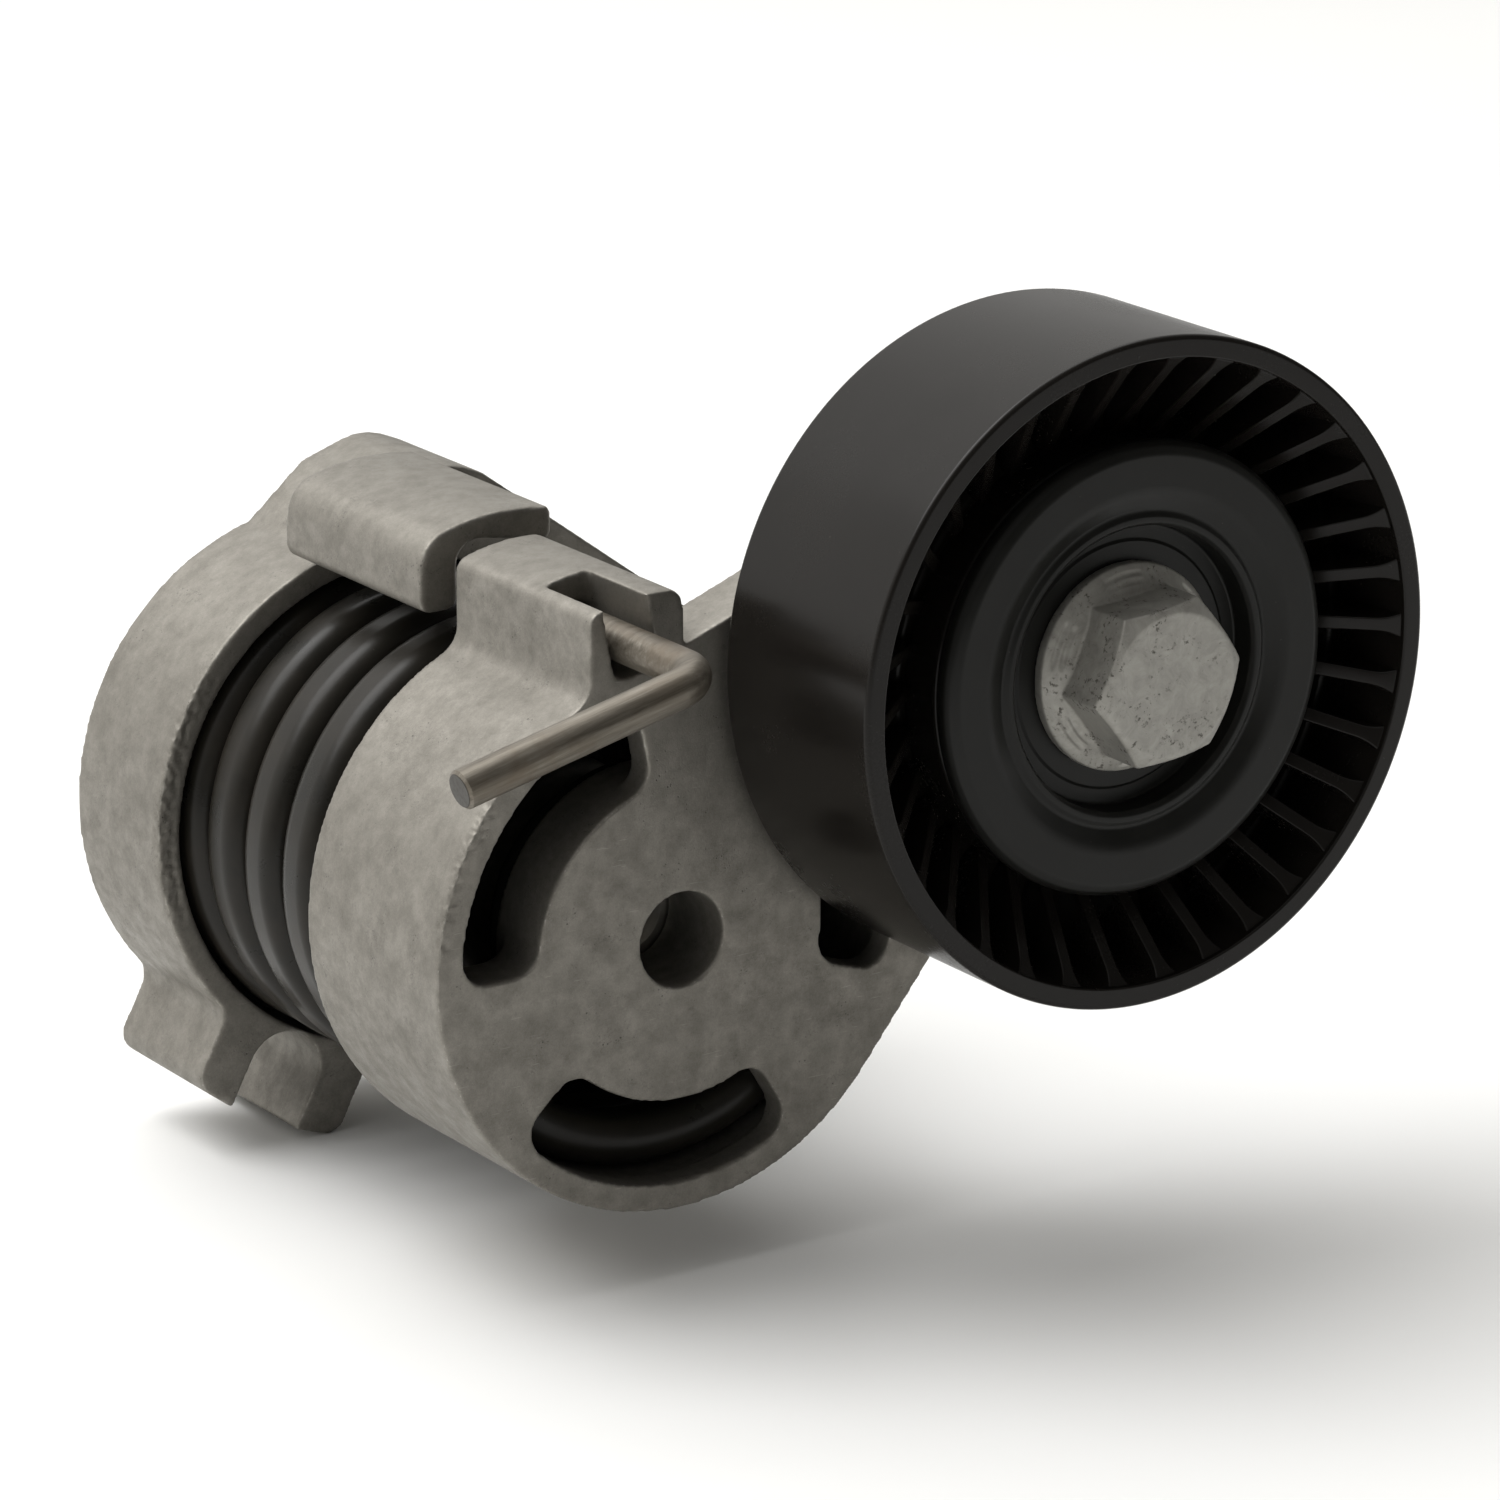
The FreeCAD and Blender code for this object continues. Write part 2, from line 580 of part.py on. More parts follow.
def pulley_bolt():
    """Flanged hexagon bolt; the head is a prism trimmed by a turned chamfer."""
    body = new_body("pulley_bolt")
    sketch = new_sketch(body, "XZ_Plane")
    add_profile(sketch, [
        ("0", "bolt_tip"), ("thread_radius - 0.8", "bolt_tip"), ("thread_radius", "bolt_tip + 0.9"),
        ("thread_radius", "seat_front"), ("flange_radius", "seat_front"),
        ("flange_radius", "seat_front + flange_edge"), ("8.6", "hex_bottom"), ("0", "hex_bottom")])
    turn(body, sketch)
    corner_radius = amount("hex_across_flats") / math.sqrt(3)
    head = new_sketch(body, level="seat_front")
    add_rounded_outline(head, [(polar(corner_radius, 67 + 60 * i), 0) for i in range(6)])
    pad(body, head, "head_top - seat_front")

    def chamfer_section(cut):
        add_profile(cut, [
            ("head_flat_radius", "head_top"), ("head_flat_radius + 3.0", "head_top - 1.8"),
            ("head_flat_radius + 3.0", "head_top + 1.0"), ("head_flat_radius", "head_top + 1.0")])

    groove(body, chamfer_section)
    return settle(body, at_pulley=True)


def arm_pieces():
    arm_housing()
    turned_piece("pivot_pin", [
        ("pin_bore", "pin_tail_end"), ("pin_tail_radius", "pin_tail_end"),
        ("pin_tail_radius", "pin_shoulder"), ("pin_radius", "pin_shoulder"),
        ("pin_radius", "pin_front"), ("pin_bore + pin_mouth", "pin_front"),
        ("pin_bore", "pin_front - pin_mouth")])
    turned_piece("pin_retaining_washer", ring_section(
        "pin_tail_radius", "retainer_radius", "retainer_rear", "pin_shoulder"))
    turned_piece("front_spring_seat", [
        ("hub_radius + 0.1", "collar_rear - 5"), ("hub_radius + 0.1 + seat_lip", "collar_rear - 5"),
        ("hub_radius + 0.1 + seat_lip", "collar_rear - 1.3"),
        ("window_inner - 0.4", "collar_rear - 1.3"), ("window_inner - 0.4", "collar_rear"),
        ("hub_radius + 0.1", "collar_rear")])
    turned_piece("rear_dust_shield", [
        ("bearing_bore + 0.1", "shoulder_front"), ("shield_radius", "shoulder_front"),
        ("shield_radius", "shoulder_front + 0.7"), ("inner_land", "shoulder_front + 0.7"),
        ("inner_land", "bearing_rear"), ("bearing_bore + 0.1", "bearing_rear")], at_pulley=True)
    pulley_bolt()
    dust_cover()
    inner = turned_piece("bearing_inner_ring", ring_section(
        "bearing_bore", "inner_land", "bearing_rear", "bearing_front"), at_pulley=True)
    groove(inner, lambda cut: add_circle(cut, "race_radius", ("ball_orbit", "bearing_middle")))
    locking_pin()


# ---------------------------------------------------------------- pulley and bearing

def pulley_rim():
    """Moulded rim and hub joined by a web, with radial ribs whose edges slope in to the hub."""
    body = new_body("pulley_rim")
    rim_section = new_sketch(body, "XZ_Plane")
    add_profile(rim_section, [
        ("pulley_hub_radius - 0.5", "web_back"), ("rim_inner - 0.7", "web_back"),
        ("rim_inner", "pulley_rear"), ("pulley_radius - 0.4", "pulley_rear"),
        ("pulley_radius", "pulley_rear + 0.4"), ("pulley_radius", "pulley_front - 0.4"),
        ("pulley_radius - 0.4", "pulley_front"), ("rim_inner", "pulley_front"),
        ("rim_inner - 0.7", "web_front"), ("pulley_hub_radius - 0.5", "web_front")])
    turn(body, rim_section)

    half, foot = amount("rib_half_width"), amount("rib_foot")
    hub, rim = amount("pulley_hub_radius") - 0.5, amount("rim_inner") + 0.3
    rib = new_sketch(body, level="rib_bottom")
    add_rounded_outline(rib, [
        (Vector(hub, -half, 0), 0), (Vector(rim - 2.2, -half, 0), 2.4), (Vector(rim, -foot, 0), 0),
        (Vector(rim, foot, 0), 0), (Vector(rim - 2.2, half, 0), 2.4), (Vector(hub, half, 0), 0)])
    around(body, [pad(body, rib, "rib_top - rib_bottom")], "rib_count")

    def slope(cut, low, high, beyond):
        add_profile(cut, [
            ("pulley_hub_radius", low), ("rim_inner + 0.05", high), ("rim_inner + 0.05", beyond),
            ("pulley_hub_radius - 2.0", beyond), ("pulley_hub_radius - 2.0", low)])

    groove(body, lambda cut: slope(cut, "rib_low_front", "rib_top", "rib_top + 2.0"))
    groove(body, lambda cut: slope(cut, "rib_low_rear", "rib_bottom", "rib_bottom - 2.0"))

    hub_section = new_sketch(body, "XZ_Plane")
    add_profile(hub_section, [
        ("lip_radius", "pulley_hub_rear"), ("pulley_hub_radius", "pulley_hub_rear"),
        ("pulley_hub_radius", "pulley_hub_front"), ("lip_radius", "pulley_hub_front"),
        ("lip_radius", "bearing_front"), ("bearing_radius", "bearing_front"),
        ("bearing_radius", "bearing_rear"), ("lip_radius", "bearing_rear")])
    turn(body, hub_section)
    return settle(body, at_pulley=True)


def plain_primitive(kind, name, **sizes):
    item = doc.addObject(f"Part::{kind}", name)
    for key, text in sizes.items():
        bind(item, key, text)
    return item


def ring_of(make_one, label, count):
    """Solids spaced evenly about the pulley axis and kept as one node."""
    copies = []
    for i in range(int(amount(count))):
        item = make_one(i)
        spin = 360 * i / amount(count)
        item.Placement = Placement(Vector(), Rotation(Vector(0, 0, 1), spin)).multiply(item.Placement)
        copies.append(item)
    group = doc.addObject("Part::Compound", label)
    group.Links = copies
    group.Label = label
    return group


def bearing_balls():
    def ball(i):
        item = plain_primitive("Sphere", f"ball_{i}", Radius="ball_radius")
        item.Placement.Base = Vector(amount("ball_orbit"), 0, amount("bearing_middle"))
        return item
    return settle(ring_of(ball, "bearing_balls", "ball_count"), at_pulley=True)


def cage_half(label, facing):
    """Stamped ribbon half: a flat ring with a dome over each ball, on one side of the middle plane."""
    middle = amount("bearing_middle")
    low = middle if facing > 0 else middle - amount("cage_shell")

    def band(height, base, name):
        outer = plain_primitive("Cylinder", f"{label}_{name}_outer", Radius="cage_outer")
        inner = plain_primitive("Cylinder", f"{label}_{name}_inner", Radius="cage_inner")
        for item in (outer, inner):
            item.Height = height
            item.Placement.Base = Vector(0, 0, base)
        ring = doc.addObject("Part::Cut", f"{label}_{name}")
        ring.Base, ring.Tool = outer, inner
        return ring

    def spheres(radius, name):
        def one(i):
            item = plain_primitive("Sphere", f"{label}_{name}_{i}", Radius=radius)
            item.Placement.Base = Vector(amount("ball_orbit"), 0, middle)
            return item
        return ring_of(one, f"{label}_{name}", "ball_count")

    flat_base = middle if facing > 0 else middle - amount("cage_thickness")
    flat = band(amount("cage_thickness"), flat_base, "flat")
    tall = band(amount("cage_shell"), low, "tall")
    domes = doc.addObject("Part::Common", f"{label}_domes")
    domes.Base, domes.Tool = tall, spheres("cage_shell", "shells")
    ribbon = doc.addObject("Part::Fuse", f"{label}_ribbon")
    ribbon.Base, ribbon.Tool = flat, domes
    cage = doc.addObject("Part::Cut", label)
    cage.Base, cage.Tool = ribbon, spheres("cage_pocket", "pockets")
    cage.Label = label
    return settle(cage, at_pulley=True)


def cage_rivets():
    def rivet(i):
        item = plain_primitive("Cylinder", f"rivet_{i}", Radius="rivet_radius")
        item.Height = 2 * amount("rivet_half_length")
        half_step = 180 / amount("ball_count")
        item.Placement.Base = polar(amount("ball_orbit"), half_step) + Vector(
            0, 0, amount("bearing_middle - rivet_half_length"))
        return item
    return settle(ring_of(rivet, "cage_rivets", "ball_count"), at_pulley=True)


def seal(label, outside, inside):
    """Rubber-faced shield pressed in the outer ring, clear of the inner one."""
    turned_piece(label, ring_section("seal_inner", "outer_land", inside, outside), at_pulley=True)


def pulley_pieces():
    pulley_rim()
    outer = turned_piece("bearing_outer_ring", ring_section(
        "outer_land", "bearing_radius", "bearing_rear", "bearing_front"), at_pulley=True)
    groove(outer, lambda cut: add_circle(cut, "race_radius", ("ball_orbit", "bearing_middle")))
    seal("front_seal", "bearing_front - 0.3", "bearing_front - 0.3 - seal_thickness")
    seal("rear_seal", "bearing_rear + 0.3 + seal_thickness", "bearing_rear + 0.3")
    bearing_balls()
    cage_half("cage_half_front", 1)
    cage_half("cage_half_rear", -1)
    cage_rivets()


base_pieces()
arm_pieces()
pulley_pieces()
doc.recompute()

for item in doc.Objects:
    if "Invalid" in item.State or "Error" in item.State:
        raise RuntimeError(f"{item.Label} failed: {item.State}")

os.makedirs("parts", exist_ok=True)
for piece in SUBPARTS:
    if piece.Shape.isNull() or not piece.Shape.isValid():
        raise RuntimeError(f"{piece.Label} has no valid shape")
    piece.Shape.exportStep(f"parts/{piece.Label}.step")
    print(piece.Label, len(piece.Shape.Solids), round(piece.Shape.Volume, 1))
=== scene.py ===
import math

import bmesh
import bpy
import numpy as np
from mathutils import Euler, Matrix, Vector, noise


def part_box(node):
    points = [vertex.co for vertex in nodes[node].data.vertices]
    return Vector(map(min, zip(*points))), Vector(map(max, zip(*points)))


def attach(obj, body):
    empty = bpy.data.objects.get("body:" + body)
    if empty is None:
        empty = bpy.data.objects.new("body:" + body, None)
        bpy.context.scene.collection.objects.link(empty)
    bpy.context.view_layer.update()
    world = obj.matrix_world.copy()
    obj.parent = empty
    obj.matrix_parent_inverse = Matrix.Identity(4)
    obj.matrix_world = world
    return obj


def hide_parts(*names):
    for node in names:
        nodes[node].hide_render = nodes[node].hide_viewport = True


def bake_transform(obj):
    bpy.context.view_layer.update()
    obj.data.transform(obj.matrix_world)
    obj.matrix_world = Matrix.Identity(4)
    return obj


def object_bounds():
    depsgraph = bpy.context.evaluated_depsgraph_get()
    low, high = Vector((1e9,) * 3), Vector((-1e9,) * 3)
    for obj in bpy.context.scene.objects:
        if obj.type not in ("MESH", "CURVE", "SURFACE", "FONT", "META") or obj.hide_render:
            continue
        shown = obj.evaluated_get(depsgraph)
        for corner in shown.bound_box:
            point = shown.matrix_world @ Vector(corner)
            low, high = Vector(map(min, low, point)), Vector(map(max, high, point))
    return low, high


# Belt tensioner.  X points right, Y back along the pivot axis, Z up; the origin is where the pivot
# axis meets the base's rear mounting face.  Castings and bolt are softened from their CAD nodes;
# pulley, dust cover and spring are built here; the other nodes keep their CAD shape.

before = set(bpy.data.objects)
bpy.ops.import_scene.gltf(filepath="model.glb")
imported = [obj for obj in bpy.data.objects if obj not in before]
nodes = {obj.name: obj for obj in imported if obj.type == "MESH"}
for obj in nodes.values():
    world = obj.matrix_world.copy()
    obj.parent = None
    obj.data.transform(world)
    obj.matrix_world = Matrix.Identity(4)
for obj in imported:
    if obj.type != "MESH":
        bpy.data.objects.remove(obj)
cad_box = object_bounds()
scene = bpy.context.scene
MM = 0.001

bearing_low, bearing_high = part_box("bearing_inner_ring")
PULLEY_X = (bearing_low.x + bearing_high.x) / 2
PULLEY_Z = (bearing_low.z + bearing_high.z) / 2


# ---------------------------------------------------------------- materials

class Look:
    """A procedural material whose textures read the piece's own coordinates, in millimetres."""

    def __init__(self, name, metallic, specular=0.5):
        self.material = bpy.data.materials.new(name)
        self.material.use_nodes = True
        self.tree = self.material.node_tree
        self.shader = self.tree.nodes["Principled BSDF"]
        self.shader.inputs["Metallic"].default_value = metallic
        self.shader.inputs["Specular IOR Level"].default_value = specular
        coordinates = self.tree.nodes.new("ShaderNodeTexCoord")
        self.place = self.mapping(coordinates.outputs["Object"], (1 / MM,) * 3)

    def link(self, source, target):
        self.tree.links.new(source, target)

    def mapping(self, source, scale, turn=(0, 0, 0)):
        node = self.tree.nodes.new("ShaderNodeMapping")
        node.inputs["Scale"].default_value = scale
        node.inputs["Rotation"].default_value = turn
        self.link(source, node.inputs["Vector"])
        return node.outputs["Vector"]

    def noise(self, scale, detail=4, rough=0.55, distortion=0.0, place=None):
        node = self.tree.nodes.new("ShaderNodeTexNoise")
        for key, value in (("Scale", scale), ("Detail", detail), ("Roughness", rough),
                           ("Distortion", distortion)):
            node.inputs[key].default_value = value
        self.link(place or self.place, node.inputs["Vector"])
        return node.outputs["Fac"]

    def cells(self, scale):
        node = self.tree.nodes.new("ShaderNodeTexVoronoi")
        node.inputs["Scale"].default_value = scale
        self.link(self.place, node.inputs["Vector"])
        return node.outputs["Distance"]

    def span(self, source, low, high, to_low=0.0, to_high=1.0):
        node = self.tree.nodes.new("ShaderNodeMapRange")
        node.interpolation_type = "SMOOTHSTEP"
        for i, value in enumerate((low, high, to_low, to_high), start=1):
            node.inputs[i].default_value = value
        self.link(source, node.inputs[0])
        return node.outputs[0]

    def math(self, operation, first, second):
        node = self.tree.nodes.new("ShaderNodeMath")
        node.operation = operation
        for i, value in enumerate((first, second)):
            if isinstance(value, (int, float)):
                node.inputs[i].default_value = value
            else:
                self.link(value, node.inputs[i])
        return node.outputs[0]

    def ramp(self, source, *stops):
        node = self.tree.nodes.new("ShaderNodeValToRGB")
        points = node.color_ramp.elements
        while len(points) < len(stops):
            points.new(0.5)
        for point, (where, colour) in zip(points, stops):
            point.position = where
            point.color = (*colour, 1)
        self.link(source, node.inputs["Fac"])
        return node.outputs["Color"]

    def blend(self, share, first, second):
        node = self.tree.nodes.new("ShaderNodeMix")
        node.data_type = "RGBA"
        self.link(share, node.inputs["Factor"])
        for key, value in ((6, first), (7, second)):
            if isinstance(value, tuple):
                node.inputs[key].default_value = (*value, 1)
            else:
                self.link(value, node.inputs[key])
        return node.outputs[2]

    def attribute(self, name):
        node = self.tree.nodes.new("ShaderNodeAttribute")
        node.attribute_name = name
        return node.outputs["Fac"]

    def finish(self, colour, rough, height=None, depth=0.02, strength=1.0):
        self.link(colour, self.shader.inputs["Base Color"])
        self.link(rough, self.shader.inputs["Roughness"])
        if height is not None:
            bump = self.tree.nodes.new("ShaderNodeBump")
            bump.inputs["Strength"].default_value = strength
            bump.inputs["Distance"].default_value = depth * MM
            self.link(height, bump.inputs["Height"])
            self.link(bump.outputs["Normal"], self.shader.inputs["Normal"])
        return self.material


def cast_aluminium():
    """Die-cast skin: blotches, grain, dark specks and hairlines in patches, bright worn corners."""
    look = Look("cast_aluminium", metallic=0.72)
    broad = look.noise(0.09, 3)
    mottle = look.noise(0.40, 9, 0.70)
    grain = look.noise(5.0, 5, 0.7)
    scuffs = look.span(look.noise(1.3, 5, 0.7, 0.2), 0.58, 0.70)
    patches = look.span(look.noise(0.28, 3), 0.50, 0.66)
    specks = look.span(look.cells(1.5), 0.06, 0.20, 1.0, 0.0)
    specks = look.math("MULTIPLY", specks, patches)
    scratches = look.span(look.noise(1.0, 2, 0.5, 0.0, look.mapping(look.place, (0.35, 4.5, 4.5))),
                          0.70, 0.76)
    ridge = look.math("ABSOLUTE", look.math("SUBTRACT", look.noise(0.45, 6, 0.62), 0.5), 0)
    hairlines = look.math("MULTIPLY", look.span(ridge, 0.0, 0.010, 1.0, 0.0), patches)
    tone = look.math("ADD", look.math("MULTIPLY", mottle, 0.5), look.math("MULTIPLY", broad, 0.2))
    tone = look.math("ADD", tone, look.math("MULTIPLY", grain, 0.3))
    colour = look.ramp(tone, (0.36, (0.170, 0.160, 0.139)), (0.50, (0.222, 0.209, 0.184)),
                       (0.64, (0.278, 0.263, 0.233)))
    colour = look.blend(look.math("MULTIPLY", scuffs, 0.26), colour, (0.12, 0.114, 0.102))
    colour = look.blend(look.math("MULTIPLY", specks, 0.65), colour, (0.055, 0.052, 0.046))
    colour = look.blend(look.math("MULTIPLY", hairlines, 0.55), colour, (0.075, 0.071, 0.063))
    colour = look.blend(look.math("MULTIPLY", scratches, 0.35), colour, (0.40, 0.385, 0.35))
    worn = look.span(look.attribute("wear"), 0.25, 0.95)
    worn = look.math("MULTIPLY", worn, look.span(look.noise(0.8, 5), 0.38, 0.60))
    colour = look.blend(look.math("MULTIPLY", worn, 0.75), colour, (0.66, 0.64, 0.59))
    rough = look.span(mottle, 0.3, 0.7, 0.62, 0.46)
    height = look.math("ADD", look.math("MULTIPLY", mottle, 0.8), look.math("MULTIPLY", grain, 0.45))
    return look.finish(colour, rough, look.math("SUBTRACT", height, specks), 0.06, 0.75)


def black_plastic():
    look = Look("pulley_plastic", metallic=0.0, specular=0.19)
    haze = look.noise(0.09, 4)
    fine = look.noise(2.2, 4)
    specks = look.span(look.cells(0.55), 0.02, 0.05, 1.0, 0.0)
    specks = look.math("MULTIPLY", specks, look.span(look.noise(0.21, 2), 0.52, 0.6))
    colour = look.ramp(haze, (0.2, (0.0076, 0.0066, 0.0056)), (0.8, (0.0100, 0.0086, 0.0073)))
    colour = look.blend(look.math("MULTIPLY", specks, 0.5), colour, (0.10, 0.09, 0.075))
    rough = look.math("ADD", look.span(haze, 0.1, 0.9, 0.21, 0.26), look.math("MULTIPLY", fine, 0.05))
    return look.finish(colour, rough, fine, 0.006, 0.6)


def painted_steel(name, dark, light, rough_low, rough_high, orange_peel, specular=0.21):
    look = Look(name, metallic=0.0, specular=specular)
    haze = look.noise(0.12, 5, 0.6)
    peel = look.noise(1.5, 3)
    dust = look.span(look.cells(0.4), 0.015, 0.04, 1.0, 0.0)
    colour = look.ramp(haze, (0.32, dark), (0.68, light))
    colour = look.blend(look.math("MULTIPLY", dust, 0.35), colour, (0.09, 0.085, 0.075))
    return look.finish(colour, look.span(haze, 0.3, 0.7, rough_low, rough_high), peel, orange_peel, 0.6)


def zinc_plate():
    look = Look("zinc_plated_steel", metallic=0.28)
    cloud = look.noise(0.5, 6, 0.65, 0.8)
    speck = look.noise(1.9, 5, 0.7)
    patch = look.span(look.noise(0.35, 3), 0.44, 0.62)
    dark = look.math("MULTIPLY", look.span(speck, 0.56, 0.62), patch)
    colour = look.ramp(cloud, (0.3, (0.25, 0.242, 0.217)), (0.7, (0.38, 0.37, 0.338)))
    colour = look.blend(look.math("MULTIPLY", dark, 0.85), colour, (0.07, 0.062, 0.05))
    rough = look.math("ADD", look.span(cloud, 0.3, 0.7, 0.34, 0.46), look.math("MULTIPLY", dark, 0.25))
    height = look.math("SUBTRACT", look.math("MULTIPLY", cloud, 0.6), dark)
    return look.finish(colour, rough, height, 0.03, 0.8)


def drawn_wire():
    """Drawn wire: fine streaks along the handle, a brown oil stain, and painted shade on the flat end.
    """
    look = Look("pin_wire", metallic=0.6)
    leg_reach, leg_turn, handle_length, handle_turn = 32.6, 100.4, 29.1, 193.5
    handle_end = -(handle_length + leg_reach * math.cos(math.radians(leg_turn - handle_turn)))
    turned = look.mapping(look.place, (1, 1, 1), (0, math.radians(handle_turn - 180), 0))
    along = look.mapping(turned, (0.10, 1.6, 1.6))
    streak = look.noise(1.0, 6, 0.7, 0.3, along)
    stain = look.noise(0.11, 4, 0.6, 0.6)
    grain = look.noise(3.0, 3)
    reach = look.tree.nodes.new("ShaderNodeSeparateXYZ")
    look.link(turned, reach.inputs[0])
    # painted shade: the flat end of the handle is coloured darker than the rest of the wire
    painted_shade_end = look.span(reach.outputs["X"], handle_end + 0.02, handle_end + 0.12, 1.0, 0.0)
    colour = look.ramp(streak, (0.30, (0.085, 0.073, 0.056)), (0.55, (0.175, 0.156, 0.127)),
                       (0.75, (0.27, 0.25, 0.215)))
    colour = look.blend(look.span(stain, 0.45, 0.68, 0.0, 0.6), colour, (0.115, 0.088, 0.060))
    colour = look.blend(painted_shade_end, colour, (0.045, 0.041, 0.035))
    height = look.math("ADD", streak, look.math("MULTIPLY", grain, 0.3))
    return look.finish(colour, look.span(streak, 0.3, 0.7, 0.34, 0.48), height, 0.02, 0.6)


def turned_metal(name, dark, light, metallic=1.0, rough=(0.28, 0.42)):
    look = Look(name, metallic=metallic)
    rings = look.noise(1.0, 4, 0.6, 0.0, look.mapping(look.place, (0.3, 3.0, 0.3)))
    cloud = look.noise(0.25, 4)
    tone = look.math("ADD", look.math("MULTIPLY", rings, 0.5), look.math("MULTIPLY", cloud, 0.5))
    return look.finish(look.ramp(tone, (0.3, dark), (0.7, light)),
                       look.span(rings, 0.3, 0.7, *rough), rings, 0.008, 0.6)


MATERIALS = {
    "cast_aluminium": cast_aluminium(),
    "pulley_plastic": black_plastic(),
    "black_sheet_steel": painted_steel("black_sheet_steel", (0.0070, 0.0070, 0.0060),
                                       (0.0100, 0.0100, 0.0088), 0.34, 0.44, 0.012),
    "coated_spring_steel": painted_steel("coated_spring_steel", (0.012, 0.0115, 0.0095),
                                         (0.021, 0.018, 0.014), 0.26, 0.36, 0.012, 0.22),
    "zinc_plated_steel": zinc_plate(),
    "pin_wire": drawn_wire(),
    "turned_steel": turned_metal("turned_steel", (0.30, 0.29, 0.27), (0.46, 0.45, 0.42)),
    "bearing_steel": turned_metal("bearing_steel", (0.42, 0.42, 0.41), (0.58, 0.58, 0.56),
                                  rough=(0.14, 0.24)),
    "pressed_steel": turned_metal("pressed_steel", (0.25, 0.24, 0.22), (0.38, 0.37, 0.34)),
    "bronze": turned_metal("bronze", (0.30, 0.19, 0.09), (0.44, 0.29, 0.14)),
    "wear_plastic": painted_steel("wear_plastic", (0.010, 0.010, 0.009), (0.018, 0.018, 0.016),
                                  0.42, 0.58, 0.010),
    "seal_rubber": painted_steel("seal_rubber", (0.009, 0.009, 0.008), (0.015, 0.015, 0.014),
                                 0.55, 0.70, 0.015),
}

NODE_SLOTS = {
    "pivot_bush": "bronze", "rear_friction_washer": "wear_plastic",
    "rear_spring_seat": "wear_plastic", "front_spring_seat": "wear_plastic",
    "pivot_pin": "turned_steel", "pin_retaining_washer": "pressed_steel",
    "rear_dust_shield": "pressed_steel", "bearing_inner_ring": "bearing_steel",
    "bearing_outer_ring": "bearing_steel", "bearing_balls": "bearing_steel",
    "cage_half_front": "pressed_steel", "cage_half_rear": "pressed_steel",
    "cage_rivets": "pressed_steel", "front_seal": "seal_rubber", "rear_seal": "seal_rubber",
    "locking_pin": "pin_wire",
}
for node_name, slot_name in NODE_SLOTS.items():
    node_mesh = nodes[node_name].data
    node_mesh.materials.clear()
    node_mesh.materials.append(MATERIALS[slot_name])


# ---------------------------------------------------------------- meshes

def new_piece(name, mesh, body, slot, *stands_for):
    piece = bpy.data.objects.new(name, mesh)
    scene.collection.objects.link(piece)
    mesh.materials.clear()
    mesh.materials.append(MATERIALS[slot])
    mesh.polygons.foreach_set("use_smooth", [True] * len(mesh.polygons))
    if body:
        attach(piece, body)
    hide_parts(*stands_for)
    return piece


def mesh_from(name, points, faces):
    mesh = bpy.data.meshes.new(name)
    mesh.from_pydata(points, [], faces)
    shell = bmesh.new()
    shell.from_mesh(mesh)
    bmesh.ops.recalc_face_normals(shell, faces=shell.faces)
    shell.to_mesh(mesh)
    shell.free()
    return mesh


def even_normals(piece):
    modifier = piece.modifiers.new("even_normals", "WEIGHTED_NORMAL")
    modifier.keep_sharp = True
    modifier.weight = 80


def rounded(corners, steps=5):
    """Closed section through (radius, level, round) corners, in millimetres, each corner an arc."""
    outline = []
    for i, (across, level, size) in enumerate(corners):
        here = Vector((across, level))
        back = Vector(corners[i - 1][:2]) - here
        ahead = Vector(corners[(i + 1) % len(corners)][:2]) - here
        half = back.angle(ahead) / 2
        setback = min(size / math.tan(half), back.length * 0.48, ahead.length * 0.48)
        size = setback * math.tan(half)
        back.normalize()
        ahead.normalize()
        centre = here + (back + ahead).normalized() * (size / math.sin(half))
        start, end = here + back * setback - centre, here + ahead * setback - centre
        sweep = start.angle_signed(end)
        for step in range(steps + 1):
            turn = -sweep * step / steps
            c, s = math.cos(turn), math.sin(turn)
            outline.append((centre.x + start.x * c - start.y * s, centre.y + start.x * s + start.y * c))
    return outline


def lathe(outline, steps=256):
    """Points and faces of a section turned about the pulley's axis; levels run towards the front."""
    count = len(outline)
    points, faces = [], []
    for i in range(steps):
        turn = 2 * math.pi * i / steps
        for across, level in outline:
            points.append((PULLEY_X + across * MM * math.cos(turn), -level * MM,
                           PULLEY_Z + across * MM * math.sin(turn)))
        following = (i + 1) % steps
        for j in range(count):
            k = (j + 1) % count
            faces.append((i * count + j, i * count + k, following * count + k, following * count + j))
    return points, faces


